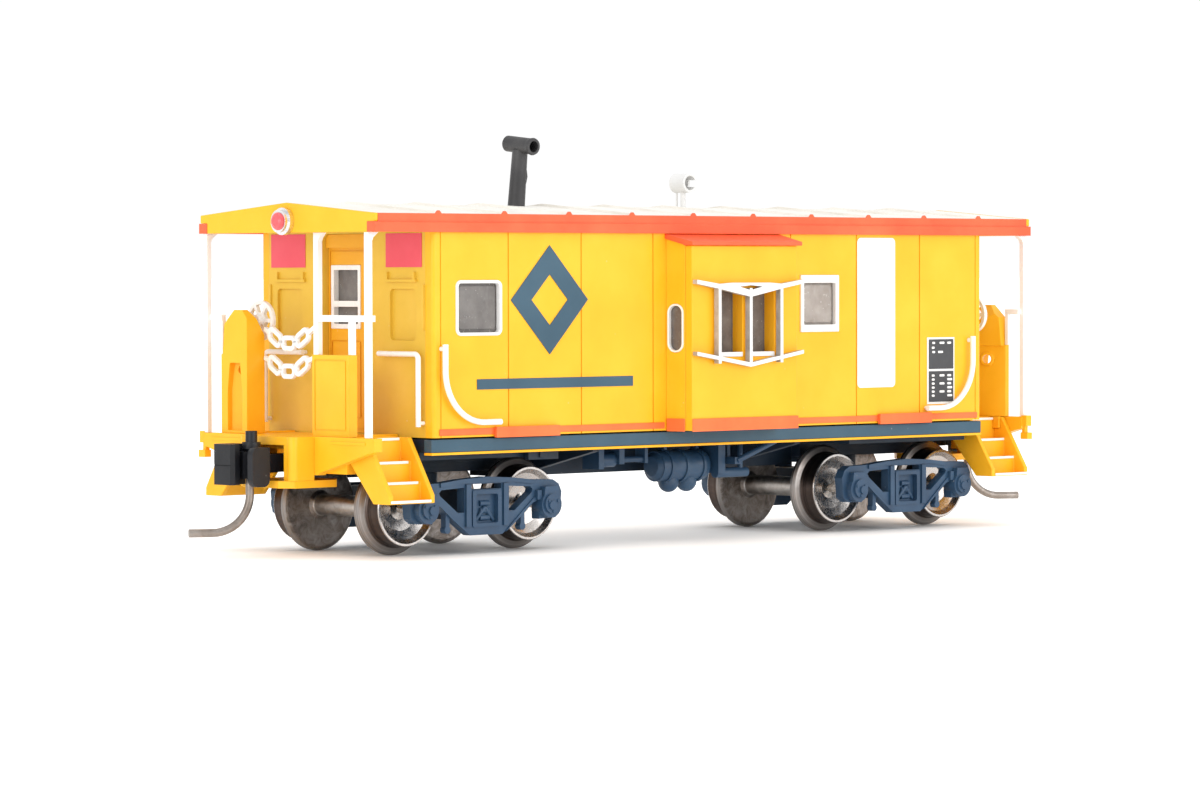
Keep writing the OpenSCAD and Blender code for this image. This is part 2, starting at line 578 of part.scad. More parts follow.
// ---------- windows ----------
module window_frames() color([0.97, 0.97, 0.95]) both() {
  xz(-cab_hw - 0.1, -cab_hw + 0.35) ring2([-25.4, 14.95], [-21.22, 18.72], 0.22, 0.45);
  xz(-cab_hw - 0.14, -cab_hw + 0.2) difference() {
    translate([7.87, 14.88]) square([3.98, 4.13]);
    translate([8.17, 15.4]) square([3.3, 3.05]);
  }
  // door windows with their cross bars
  yz(-cab_hl + 0.48, -cab_hl + 0.95) {
    difference() {
      translate([-0.97, 15.39]) square([3.1, 4.37]);
      translate([-0.69, 15.71]) square([2.54, 3.72]);
    }
    translate([-0.7, 16.9]) square([2.56, 0.4]);
  }
}

// sills and side strips of the bay windows, rims of the slots in the cheeks
module bay_windows() color([0.97, 0.97, 0.95]) both() {
  for (s = [-1, 1]) {
    bx([s * 1.6 - 1.29, -bay_y - 0.08, 13.26], [s * 1.6 + 1.29, -bay_y + 0.58, 13.58]);
  }
  for (m = [0, 1]) mirror([m, 0, 0]) cheek_plane() yz(-0.25, 0.1) ring2([-0.69, 13.6], [0.69, 17.0],
      0.13, 0.65);
}

// chevron frames in front of the bay windows
module bay_guards() color([0.96, 0.96, 0.94]) both() {
  xz(-bay_y - 0.6, -bay_y - 0.14) {
    difference() {
      polygon([[-5.35, 18.7], [-5.35, 18.42], [-3.1, 18.05], [0, 17.48], [3.1, 18.05], [5.35, 18.42],
          [5.35, 18.7],
               [3.1, 18.4], [1.9, 18.48], [-1.9, 18.48], [-3.1, 18.4]]);
      polygon([[-1.15, 18.2], [0, 17.95], [1.15, 18.2], [0, 18.3]]);
    }
    polygon([[-5.35, 13.66], [-5.35, 13.4], [-3.1, 13.04], [0, 12.53], [3.1, 13.04], [5.35, 13.4], [5.35,
        13.66],
             [3.1, 13.3], [0, 12.82], [-3.1, 13.3]]);
    for (x = [-3.1, 0, 3.1]) translate([x - 0.14, 12.8]) square([0.28, 5.3]);
  }
  for (x = [-3.1, 3.1], z = [13.17, 18.22])
    bx([x - 0.13, -bay_y - 0.2, z - 0.13], [x + 0.13, -bay_y - 0.01, z + 0.13]);
}

// clear panes, each with a raised middle
module glazing() color([0.5, 0.45, 0.4, 0.5]) both() {
  xz(-cab_hw + 0.36, -cab_hw + 0.56) rrect([-25.38, 15.0], [-21.24, 18.68], 0.4);
  xz(-cab_hw + 0.2, -cab_hw + 0.4) rrect([-24.95, 15.4], [-21.65, 18.3], 0.25);
  bx([7.9, -cab_hw + 0.25, 14.9], [11.83, -cab_hw + 0.45, 18.98]);
  xz(-cab_hw + 0.1, -cab_hw + 0.3) rrect([8.35, 15.57], [11.27, 18.27], 0.3);
  bx([-cab_hl + 0.96, -0.95, 15.41], [-cab_hl + 1.1, 2.11, 19.74]);
  for (s = [-1, 1]) bx([s * 1.6 - 1.28, -bay_y + 0.95, 13.27], [s * 1.6 + 1.28, -bay_y + 1.05, 17.93]);
  for (m = [0, 1]) mirror([m, 0, 0]) cheek_plane() yz(-0.4, -0.26) rrect([-0.68, 13.61], [0.68, 16.99],
      0.64);
}

// ---------- painted panels ----------
module red_panels() color([0.93, 0.36, 0.4]) both() {
  for (s = [-1, 1]) bx([-cab_hl - 0.05, s * 6.12 - 1.85, 19.6], [-cab_hl - 0.005, s * 6.12 + 1.85, 21.9]);
}

module placards() color([0.97, 0.97, 0.96]) both() {
  xz(-cab_hw - 0.05, -cab_hw - 0.005) rrect([13.87, 10.73], [17.9, 21.72], 0.35);
  xz(-cab_hw - 0.05, -cab_hw - 0.005) translate([21.4, 9.37]) square([2.98, 4.97]);
}

module data_panels() color([0.2, 0.2, 0.21]) both()
  for (z = [[9.5, 11.78], [11.95, 14.15]])
    bx([21.56, -cab_hw - 0.1, z[0] + 0.04], [24.22, -cab_hw - 0.055, z[1] + 0.04]);

module emblems() color([0.2, 0.31, 0.4]) both()
  xz(-cab_hw - 0.05, -cab_hw - 0.005) {
    difference() {
      polygon([[-20.4, 17.35], [-16.8, 21.1], [-13.2, 17.35], [-16.8, 13.6]]);
      polygon([[-18.5, 17.35], [-16.8, 19.1], [-15.1, 17.35], [-16.8, 15.6]]);
    }
    translate([-23.5, 11.3]) square([14.6, 0.7]);
  }

// ---------- underbody gear ----------
module air_tank() color([0.16, 0.23, 0.31]) {
  translate([-1.9, -4.0, 5.3]) rotate([0, 90, 0]) cylinder(h = 4.6, r = 1.1);
  for (x = [-1.2, 0.3, 2.0]) translate([x, -4.0, 5.3]) rotate([0, 90, 0]) cylinder(h = 0.28, r = 1.22);
  translate([2.6, -4.0, 5.3]) rotate([0, 90, 0]) cylinder(h = 0.35, r1 = 1.05, r2 = 0.7);
  translate([-2.2, -4.0, 5.3]) rotate([0, 90, 0]) cylinder(h = 0.35, r1 = 0.7, r2 = 1.05);
  // round lumps beneath
  for (x = [-0.5, 1.3]) translate([x, -4.0, 4.15]) sphere(0.75);
  // hangers
  for (x = [-1.2, 2.0]) bx([x, -4.3, 6.3], [x + 0.28, -3.7, 7.09]);
}

module brake_gear() color([0.16, 0.23, 0.31]) {
  // bracket plate and cylinder at the end of the tank
  bx([3.0, -5.6, 4.7], [3.3, -3.0, 7.09]);
  bx([3.0, -5.6, 4.7], [3.7, -5.3, 7.09]);
  translate([3.31, -4.9, 4.7]) rotate([0, 90, 0]) cylinder(h = 3.2, r = 0.36);
  translate([5.9, -4.9, 4.7]) cylinder(h = 2.39, r = 0.2);
  // sloping brace up to the side sill
  difference() {
    bar([4.3, -6.2, 5.6], [8.0, -7.2, 7.25], 0.22);
    bx([3, -9, 7.09], [12, -5, 8]);
  }
  bx([4.0, -6.3, 5.35], [4.7, -5.0, 5.85]);
  bx([4.3, -5.2, 5.36], [4.6, -4.9, 7.09]);
  // brackets with a second cylinder on the other side of the tank
  bx([-8.2, -4.9, 5.3], [-7.7, -3.2, 7.09]);
  bx([-6.2, -4.9, 5.6], [-5.7, -3.2, 7.09]);
  translate([-7.69, -4.2, 5.9]) rotate([0, 90, 0]) cylinder(h = 1.48, r = 0.5);
  translate([-5.69, -4.2, 5.9]) rotate([0, 90, 0]) cylinder(h = 2.6, r = 0.22);
  bx([-3.4, -4.6, 5.6], [-3.1, -3.6, 7.09]);
  // gear under the far side
  bx([-6.5, 3.6, 5.1], [-2.5, 5.6, 7.09]);
  translate([-2.49, 4.6, 6.0]) rotate([0, 90, 0]) cylinder(h = 3.6, r = 0.75);
  bx([1.12, 4.2, 5.9], [1.5, 5.0, 7.09]);
  bar([1.51, 4.6, 6.3], [7.2, 4.6, 6.3], 0.2);
  bx([7.0, 4.45, 6.2], [7.3, 4.75, 7.09]);
}

// ---------- trucks ----------
// points of the side frame, drawn for a half wheelbase of 5.2 and stretched along the truck
function along(p) = [for (q = p) [q[0] * half_base / 5.2, q[1]]];

module frame_outline() difference() {
  polygon(along([[-6.45, 4.05], [-6.2, 4.6], [-5.7, 4.9], [-3.9, 4.95], [-2.2, 5.15], [0, 5.28],
    [2.2, 5.15], [3.9, 4.95], [5.7, 4.9], [6.2, 4.6], [6.45, 4.05], [6.3, 2.6], [5.9, 2.25],
    [4.5, 2.2], [4.45, 3.5], [3.9, 3.35], [3.0, 2.55], [1.35, 1.3], [-1.35, 1.3], [-3.0, 2.55],
    [-3.9, 3.35], [-4.45, 3.5], [-4.5, 2.2], [-5.9, 2.25], [-6.3, 2.6]]));
  for (s = [-1, 1]) polygon(along([[s * 1.85, 4.58], [s * 3.75, 4.48], [s * 3.95, 4.3],
    [s * 3.9, 4.1], [s * 2.4, 2.88], [s * 1.85, 2.88]]));
  translate([-1.38, 4.44]) square([2.76, 0.36]);
  rrect([-1.0, 2.11], [1.0, 4.1], 0.15);
}

// side frames with their bearing covers, spring packets and brake hangers
module truck_frames() color([0.2, 0.29, 0.38]) for (r = [0, 180]) rotate([0, 0, r]) {
  difference() {
    union() {
      xz(-frame_y, -frame_y + 0.75) frame_outline();
      // raised rims along the top and around the middle window
      xz(-frame_y - 0.12, -frame_y + 0.1) polygon(along([[-3.9, 4.66], [-2.2, 4.86], [2.2, 4.86],
        [3.9, 4.66], [3.9, 4.95], [2.2, 5.15], [0, 5.28], [-2.2, 5.15], [-3.9, 4.95]]));
      for (x = [-1.72, 1.72]) bx([x - 0.22, -frame_y - 0.16, 1.9], [x + 0.22, -frame_y + 0.1, 4.8]);
      xz(-frame_y - 0.1, -frame_y + 0.1) difference() {
        rrect([-1.32, 1.85], [1.32, 4.38], 0.15);
        rrect([-1.0, 2.11], [1.0, 4.1], 0.15);
      }
      for (m = [0, 1]) mirror([m, 0, 0]) {
        // lower slanting edge
        xz(-frame_y - 0.1, -frame_y + 0.1) polygon(along([[1.85, 1.75], [4.0, 3.7], [4.35, 3.75],
            [4.2, 3.45], [3.9, 3.35], [3.0, 2.55], [1.6, 1.45]]));
        // bearing box, cover and bolts
        translate([half_base, -frame_y - 0.5, flange_r]) rotate([-90, 0, 0]) cylinder(h = 1.1, r = 0.92);
        translate([half_base - 0.05, -frame_y - 0.68, flange_r + 0.05]) rotate([-90, 0,
            0]) cylinder(h = 0.3, r = 0.68);
        translate([half_base - 0.15, -frame_y - 0.82, flange_r - 0.05]) rotate([-90, 0,
            0]) cylinder(h = 0.3, r = 0.3);
        for (a = [30 : 120 : 270]) translate([half_base + 0.48 * cos(a), -frame_y - 0.76,
            flange_r + 0.48 * sin(a)])
          rotate([-90, 0, 0]) cylinder(h = 0.2, r = 0.11);
        xz(-frame_y - 0.5, -frame_y + 0.1) polygon([[half_base - 0.75, 3.3], [half_base + 0.75, 3.3],
          [half_base + 0.6, 4.45], [half_base - 0.6, 4.45]]);
        bx([half_base - 1.15, -frame_y - 0.3, 3.55], [half_base - 0.75, -frame_y + 0.1, 4.2]);
        // brake hanger below the slanting edge
        bx([3.27, -frame_y + 0.1, 1.75], [3.62, -frame_y + 0.6, 3.0]);
        translate([3.44, -frame_y + 0.1, 1.75]) rotate([-90, 0, 0]) cylinder(h = 0.5, r = 0.26);
      }
      // spring packet in the middle window
      bx([-1.07, -frame_y + 0.3, 2.0], [1.07, -frame_y + 0.74, 4.2]);
      for (z = [2.45, 2.95, 3.45]) translate([0, -frame_y + 0.3, z]) rotate([0, 90, 0]) translate([0, 0,
          -0.42]) cylinder(h = 0.84, r = 0.2);
      for (k = [-1, 1]) bar([k * 0.8, -frame_y + 0.25, 2.3], [0, -frame_y + 0.15, 3.2], 0.13);
    }
    // bearings for the axle ends, open to the inside
    for (k = [-1, 1]) translate([k * half_base, -frame_y + 0.2, flange_r]) rotate([-90, 0,
        0]) cylinder(h = 1, r = 0.38);
  }
}

module truck_bolster() color([0.16, 0.23, 0.31]) {
  bx([-1.5, -frame_y + 0.76, 2.3], [1.5, frame_y - 0.76, 4.3]);
  translate([0, 0, 4.2]) cylinder(h = 2.88, r = 1.5);
  // brake beams across the truck, between the wheels
  for (s = [-1, 1]) bx([s * 1.75 - 0.25, -3.2, 2.6], [s * 1.75 + 0.25, 3.2, 3.5]);
}

module frames_a() translate([-truck_x, 0, 0]) truck_frames();
module frames_b() translate([truck_x, 0, 0]) rotate([0, 0, 180]) truck_frames();
module bolster_a() translate([-truck_x, 0, 0]) truck_bolster();
module bolster_b() translate([truck_x, 0, 0]) truck_bolster();

module wheelset() color([0.45, 0.42, 0.4])
  rotate([90, 0, 0]) rotate_extrude()
    polygon([[0, -6.95], [0.3, -6.75], [0.3, -4.83], [0.75, -4.73], [1.5, -4.88], [2.1, -5.18],
      [2.38, -5.58], [2.52, -5.58], [2.58, -5.48], [tread_r, -4.48], [2.7, -4.28], [3.05, -4.13],
      [flange_r, -3.98], [flange_r, -3.78], [3.05, -3.63], [2.9, -3.58], [1.0, -3.58], [0.72, -3.38],
      [0.72, 3.38], [1.0, 3.58], [2.9, 3.58], [3.05, 3.63], [flange_r, 3.78], [flange_r, 3.98],
      [3.05, 4.13], [2.7, 4.28], [tread_r, 4.48], [2.58, 5.48], [2.52, 5.58], [2.38, 5.58],
      [2.1, 5.18], [1.5, 4.88], [0.75, 4.73], [0.3, 4.83], [0.3, 6.75], [0, 6.95]]);

module wheelset_1() translate([-truck_x - half_base, 0, flange_r]) wheelset();
module wheelset_2() translate([-truck_x + half_base, 0, flange_r]) wheelset();
module wheelset_3() translate([truck_x - half_base, 0, flange_r]) wheelset();
module wheelset_4() translate([truck_x + half_base, 0, flange_r]) wheelset();

// ---------- couplers ----------
module coupler() color([0.2, 0.2, 0.21]) difference() {
  union() {
    // shank with its pivot eye
    bx([-35.3, -0.8, 5.8], [-coup_x - 0.5, 0.8, 7.0]);
    translate([-coup_x, 0, 5.8]) cylinder(h = 1.2, r = 1.05);
    // head, guard arm and knuckle
    bx([-36.1, -1.3, 5.35], [-35.2, 1.3, 7.5]);
    xz(-1.66, -1.12) rrect([-37.0, 4.87], [-35.5, 7.54], 0.5);
    xy(4.98, 7.72) polygon([[-35.55, 2.15], [-37.15, 2.15], [-37.52, 1.8], [-37.52, 0.1], [-37.2, -0.05],
                            [-36.8, -0.05], [-36.75, 0.9], [-35.55, 0.9]]);
    xy(5.4, 7.2) polygon([[-36.0, -0.3], [-36.5, -0.1], [-36.5, 1.0], [-36.0, 1.0]]);
    translate([-35.75, 0, 7.4]) cylinder(h = 0.45, r = 0.62);
    translate([-35.75, 0, 7.5]) cylinder(h = 1.1, r = 0.4);
  }
  translate([-coup_x, 0, 5]) cylinder(h = 3, r = 0.55);
  // split between the upper and lower halves of the knuckle
  bx([-38, -0.6, 6.26], [-37.42, 2.2, 6.34]);
  bx([-37.5, 2.07, 6.26], [-35.5, 2.4, 6.34]);
  // hole that takes the trip pin
  translate([-35.9, 0, 4]) cylinder(h = 1.6, r = 0.29);
}

module trip_pin() color([0.5, 0.45, 0.42])
  translate([-35.9, 0, 0]) rotate([0, 0, -30]) {
    translate([0, 0, 4.3]) cylinder(h = 1.25, r = 0.28);
    translate([-2.55, 0, 4.3]) bend(2.55, 0.28);
    translate([-4.15, 0, 1.75]) rotate([0, 90, 0]) cylinder(h = 1.6, r = 0.28);
  }

module coupler_a() coupler();
module coupler_b() rotate([0, 0, 180]) coupler();
module trip_pin_a() trip_pin();
module trip_pin_b() rotate([0, 0, 180]) trip_pin();

roof();
roof_fascia();
gable_ends();
side_near_l();
side_near_r();
side_far_l();
side_far_r();
bay_headers();
end_wall_a();
end_wall_b();
end_doors();
bay_faces();
bay_jambs();
bay_cheeks();
bay_canopies();
floor();
side_sills();
sill_strips();
lower_stripe();
center_sill();
cross_arms();
metal_weight();
platforms();
end_beams();
coupler_pockets();
pocket_lids();
steps();
step_edges();
box_posts();
brake_stands();
brake_wheels();
end_rails();
chains();
grab_irons();
end_lamps();
lamp_rings();
smoke_jack();
roof_vent();
window_frames();
bay_windows();
bay_guards();
glazing();
red_panels();
placards();
data_panels();
emblems();
air_tank();
brake_gear();
frames_a();
bolster_a();
frames_b();
bolster_b();
wheelset_1();
wheelset_2();
wheelset_3();
wheelset_4();
coupler_a();
coupler_b();
trip_pin_a();
trip_pin_b();
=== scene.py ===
"""Looks for the bay-window caboose model: materials, moulded edges, floor, light and camera."""
import math

import bmesh
import bpy
from mathutils import Matrix, Vector


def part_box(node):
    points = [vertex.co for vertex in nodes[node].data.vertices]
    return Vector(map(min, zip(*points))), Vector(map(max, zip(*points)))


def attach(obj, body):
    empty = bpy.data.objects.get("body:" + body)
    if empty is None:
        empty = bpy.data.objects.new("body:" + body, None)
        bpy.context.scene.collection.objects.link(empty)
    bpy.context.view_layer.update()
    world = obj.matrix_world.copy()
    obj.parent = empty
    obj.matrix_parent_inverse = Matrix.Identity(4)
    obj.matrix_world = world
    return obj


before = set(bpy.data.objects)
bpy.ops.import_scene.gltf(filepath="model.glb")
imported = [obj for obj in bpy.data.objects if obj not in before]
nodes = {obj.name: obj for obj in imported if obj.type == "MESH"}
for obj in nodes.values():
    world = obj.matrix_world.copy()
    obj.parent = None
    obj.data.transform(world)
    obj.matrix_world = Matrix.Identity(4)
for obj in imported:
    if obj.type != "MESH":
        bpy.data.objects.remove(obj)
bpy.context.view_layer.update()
MM = 1e-3


# ---------------------------------------------------------------- node helpers
class Mat:
    """Builds one procedural material on object coordinates; noise scales are per metre."""

    def __init__(self, name, rough, metal=0.0):
        self.m = bpy.data.materials.new(name)
        self.m.use_nodes = True
        self.t = self.m.node_tree
        self.b = self.t.nodes["Principled BSDF"]
        self.b.inputs["Roughness"].default_value = rough
        self.b.inputs["Metallic"].default_value = metal
        self.coord = self.t.nodes.new("ShaderNodeTexCoord").outputs["Object"]

    def node(self, kind, **props):
        n = self.t.nodes.new(kind)
        for k, v in props.items():
            if k in n.inputs:
                n.inputs[k].default_value = v
            else:
                setattr(n, k, v)
        return n

    def link(self, a, b):
        self.t.links.new(a, b)

    def mapped(self, scale):
        n = self.node("ShaderNodeMapping", Scale=scale)
        self.link(self.coord, n.inputs["Vector"])
        return n.outputs["Vector"]

    def noise(self, scale, detail, rough, vec=None, dist=0.0):
        n = self.node("ShaderNodeTexNoise", Scale=scale, Detail=detail, Roughness=rough, Distortion=dist)
        self.link(vec or self.coord, n.inputs["Vector"])
        return n.outputs["Fac"]

    def ramp(self, fac, stops):
        n = self.node("ShaderNodeValToRGB")
        e = n.color_ramp.elements
        while len(e) < len(stops):
            e.new(0.5)
        for i, (p, c) in enumerate(stops):
            e[i].position = p
            e[i].color = (*c, 1)
        self.link(fac, n.inputs["Fac"])
        return n.outputs["Color"]

    def mix(self, fac, a, b):
        """Colour a where fac is 0, b where it is 1; b may be a plain colour."""
        n = self.node("ShaderNodeMix", data_type="RGBA")
        for sock, v in ((n.inputs[0], fac), (n.inputs[6], a), (n.inputs[7], b)):
            if isinstance(v, tuple):
                sock.default_value = (*v, 1)
            else:
                self.link(v, sock)
        return n.outputs[2]

    def math(self, op, a, b=0.0, clamp=False):
        n = self.node("ShaderNodeMath", operation=op, use_clamp=clamp)
        for sock, v in ((n.inputs[0], a), (n.inputs[1], b)):
            if isinstance(v, (int, float)):
                sock.default_value = v
            else:
                self.link(v, sock)
        return n.outputs[0]

    def span(self, v, lo, hi, to_lo, to_hi):
        """Maps lo..hi onto to_lo..to_hi, held at both ends."""
        n = self.node("ShaderNodeMapRange")
        for i, x in enumerate((lo, hi, to_lo, to_hi)):
            n.inputs[i + 1].default_value = x
        self.link(v, n.inputs["Value"])
        return n.outputs["Result"]

    def bump(self, height, strength, dist, normal=None):
        n = self.node("ShaderNodeBump", Strength=strength, Distance=dist)
        self.link(height, n.inputs["Height"])
        if normal:
            self.link(normal, n.inputs["Normal"])
        return n.outputs["Normal"]

    def color(self, c):
        self.link(c, self.b.inputs["Base Color"])

    def roughness(self, r):
        self.link(r, self.b.inputs["Roughness"])

    def normal(self, n):
        self.link(n, self.b.inputs["Normal"])


def paint(name, dark, base, light, rough=0.36, speck=0.5, grain=1.0, spec=0.5):
    """Sprayed plastic paint: faint cloudy tone, fine orange peel, a few dust specks."""
    m = Mat(name, rough=rough)
    m.b.inputs["Specular IOR Level"].default_value = spec
    cloud = m.noise(260, 5, 0.55)
    fine = m.noise(2600, 3, 0.6)
    tone = m.ramp(cloud, [(0.3, dark), (0.5, base), (0.72, light)])
    dust = m.node("ShaderNodeTexVoronoi", Scale=1500)
    m.link(m.coord, dust.inputs["Vector"])
    near_dust = m.span(dust.outputs["Distance"], 0.05, 0.12, 1.0, 0.0)
    patch = m.span(m.noise(420, 2, 0.5), 0.62, 0.7, 0.0, 1.0)
    dot = m.math("MULTIPLY", near_dust, patch, True)
    m.color(m.mix(m.math("MULTIPLY", dot, 0.35 * speck), tone, (0.95, 0.93, 0.88)))
    m.roughness(m.span(m.noise(700, 4, 0.6), 0.3, 0.7, rough - 0.06, rough + 0.09))
    m.normal(m.bump(fine, 0.12 * grain, 0.00003, m.bump(m.noise(900, 2, 0.5), 0.10 * grain, 0.0001)))
    return m.m


yellow = paint("cab_yellow", (0.91, 0.44, 0.012), (0.95, 0.468, 0.016), (0.96, 0.50, 0.024), spec=0.3)
# The next two paints are darker, more mustard copies of the cab yellow: painted shade on the end doors and end
# walls, which sit in shade under the roof overhang.
door_shade_yellow = paint("door_yellow_painted_shade", (0.80, 0.385, 0.018), (0.84, 0.41, 0.024), (0.88, 0.44, 0.032), spec=0.25)
end_yellow_painted_shade = paint("end_yellow_painted_shade", (0.69, 0.44, 0.042), (0.735, 0.475, 0.052), (0.78, 0.51, 0.068), spec=0.25)
stripe = paint("stripe_orange",
               (0.88, 0.14, 0.036), (0.93, 0.17, 0.045), (0.95, 0.20, 0.056), spec=0.3, speck=1.0)
orange = paint("trim_orange",
               (0.88, 0.10, 0.034), (0.93, 0.12, 0.043), (0.95, 0.145, 0.054), spec=0.3, speck=1.0)
white = paint("trim_white", (0.82, 0.81, 0.785), (0.88, 0.872, 0.855), (0.92, 0.915, 0.90), rough=0.3)
horn = paint("horn_white", (0.66, 0.655, 0.645), (0.74, 0.735, 0.725), (0.80, 0.795, 0.785), rough=0.32)
truck = paint("truck_blue",
              (0.016, 0.046, 0.094), (0.022, 0.06, 0.12), (0.034, 0.082, 0.15), rough=0.42, grain=1.6, spec=0.45)
blue = paint("under_navy",
             (0.006, 0.014, 0.027), (0.009, 0.02, 0.037), (0.014, 0.03, 0.052), rough=0.46, grain=1.6, spec=0.35)
sill = paint("sill_blue",
             (0.031, 0.078, 0.117), (0.037, 0.089, 0.133), (0.046, 0.103, 0.150), rough=0.36, spec=0.35)
roofm = paint("roof_white",
              (0.74, 0.71, 0.64), (0.81, 0.78, 0.72), (0.86, 0.84, 0.79), rough=0.5, grain=2.5, speck=1.2)
red = paint("panel_red", (0.73, 0.076, 0.105), (0.77, 0.09, 0.125), (0.80, 0.112, 0.148), spec=0.3)
dark = paint("smoke_dark",
             (0.018, 0.0175, 0.019), (0.031, 0.03, 0.032), (0.058, 0.056, 0.056), rough=0.46, grain=3.0, speck=2.0)
black = paint("coupler_black",
              (0.006, 0.0068, 0.009), (0.010, 0.011, 0.015), (0.02, 0.022, 0.028), rough=0.44, grain=2.0, spec=0.35)
panel = paint("panel_black", (0.03, 0.03, 0.033), (0.045, 0.045, 0.049), (0.06, 0.06, 0.065))


def guards():
    """Moulded white chevrons: clean on the front, dirtier grey-brown on the edges that face along or up."""
    m = Mat("guard_white", rough=0.34)
    tone = m.ramp(m.noise(420, 5, 0.6), [(0.3, (0.76, 0.745, 0.72)), (0.7, (0.87, 0.862, 0.845))])
    edge = m.ramp(m.noise(700, 5, 0.65), [(0.3, (0.30, 0.26, 0.22)), (0.7, (0.52, 0.48, 0.43))])
    tex = m.node("ShaderNodeTexCoord")
    sep = m.node("ShaderNodeSeparateXYZ")
    m.link(tex.outputs["Normal"], sep.inputs[0])
    front = m.span(m.math("ABSOLUTE", sep.outputs["Y"]), 0.35, 0.8, 0.0, 1.0)
    m.color(m.mix(front, edge, tone))
    m.roughness(m.span(m.noise(900, 4, 0.6), 0.3, 0.7, 0.26, 0.45))
    m.normal(m.bump(m.noise(2200, 3, 0.6), 0.14, 0.00004))
    return m.m


sprue = guards()


def steel(name, a, b, c, rough):
    m = Mat(name, rough=rough, metal=1.0)
    blotch = m.noise(700, 6, 0.62, dist=0.6)
    m.color(m.ramp(blotch, [(0.28, a), (0.52, b), (0.75, c)]))
    m.roughness(m.span(m.noise(1500, 5, 0.65), 0.3, 0.7, rough - 0.1, rough + 0.16))
    m.normal(m.bump(m.noise(4200, 4, 0.7), 0.18, 0.00003))
    return m.m


# bands, in metres, over which one finish of a wheel passes into the next
BACK_TO_FLANGE = (0.00364, 0.00368)     # distance from the middle of the axle
TREAD_TO_DISH = (0.00464, 0.00468)
TREAD_TO_RIM = (0.00550, 0.00554)
AXLE_TO_WHEEL = (0.00076, 0.00082)      # radius
DISH_TO_RIM = (0.00251, 0.00254)
TREAD_TO_FLANGE = (0.00266, 0.00272)


def wheel(name, centre):
    """Turned wheelset: dark tread, bright rim and dish, mottled back, told apart by radius and side."""
    m = Mat(name, rough=0.3, metal=1.0)
    sep = m.node("ShaderNodeSeparateXYZ")
    m.link(m.coord, sep.inputs[0])
    dx = m.math("SUBTRACT", sep.outputs["X"], centre[0])
    dz = m.math("SUBTRACT", sep.outputs["Z"], centre[2])
    rad = m.math("SQRT", m.math("ADD", m.math("MULTIPLY", dx, dx), m.math("MULTIPLY", dz, dz)))
    side = m.math("ABSOLUTE", sep.outputs["Y"])
    mottle = m.noise(1150, 7, 0.68, dist=1.2)
    fine = m.noise(3800, 4, 0.6)
    ring = m.node("ShaderNodeCombineXYZ")
    m.link(m.math("MULTIPLY", rad, 14000.0), ring.inputs[0])
    m.link(m.math("MULTIPLY", side, 9000.0), ring.inputs[1])
    lathe = m.noise(1.0, 3, 0.6, vec=ring.outputs[0])
    back = m.ramp(mottle, [(0.3, (0.10, 0.082, 0.072)), (0.48, (0.23, 0.20, 0.18)),
                           (0.62, (0.36, 0.33, 0.31)), (0.8, (0.6, 0.58, 0.56))])
    dish = m.ramp(fine, [(0.3, (0.46, 0.43, 0.41)), (0.7, (0.64, 0.61, 0.59))])
    rim = m.ramp(lathe, [(0.3, (0.36, 0.33, 0.31)), (0.7, (0.62, 0.59, 0.57))])
    tread = m.ramp(lathe, [(0.3, (0.045, 0.032, 0.027)), (0.7, (0.105, 0.08, 0.07))])
    flange = m.ramp(lathe, [(0.3, (0.20, 0.18, 0.17)), (0.7, (0.36, 0.335, 0.32))])
    axle = m.ramp(mottle, [(0.3, (0.34, 0.31, 0.28)), (0.7, (0.66, 0.63, 0.60))])
    outer = m.span(side, *TREAD_TO_DISH, 0.0, 1.0)
    inner = m.span(side, *BACK_TO_FLANGE, 1.0, 0.0)
    edge = m.span(side, *TREAD_TO_RIM, 0.0, 1.0)
    in_dish = m.math("MULTIPLY", outer, m.span(rad, *DISH_TO_RIM, 1.0, 0.0), True)
    col = m.mix(m.span(rad, *TREAD_TO_FLANGE, 0.0, 1.0), tread, flange)
    col = m.mix(inner, col, back)
    col = m.mix(edge, col, rim)
    col = m.mix(in_dish, col, dish)
    col = m.mix(m.span(rad, *AXLE_TO_WHEEL, 1.0, 0.0), col, axle)
    m.color(col)
    finish = m.node("ShaderNodeMix")
    m.link(m.math("MAXIMUM", in_dish, edge), finish.inputs[0])
    m.link(m.span(mottle, 0.3, 0.7, 0.28, 0.5), finish.inputs[2])
    m.link(m.span(fine, 0.3, 0.7, 0.2, 0.32), finish.inputs[3])
    m.roughness(finish.outputs[0])
    pitting = m.math("MULTIPLY", mottle, m.math("SUBTRACT", 1.0, in_dish))
    m.normal(m.bump(lathe, 0.10, 0.00002, m.bump(pitting, 0.12, 0.00004)))
    return m.m


pin = steel("pin_steel", (0.2, 0.165, 0.14), (0.31, 0.27, 0.24), (0.42, 0.38, 0.35), 0.38)
weight = steel("weight_metal", (0.16, 0.16, 0.17), (0.25, 0.25, 0.26), (0.36, 0.36, 0.37), 0.5)
chrome = steel("ring_chrome", (0.62, 0.62, 0.64), (0.8, 0.8, 0.81), (0.92, 0.92, 0.92), 0.2)


# bands of distance from the middle of the car, in metres, that part the bays from the left and right windows
BAY_END = (0.0068, 0.007)
RIGHT_WINDOW_END = (0.0130, 0.0132)


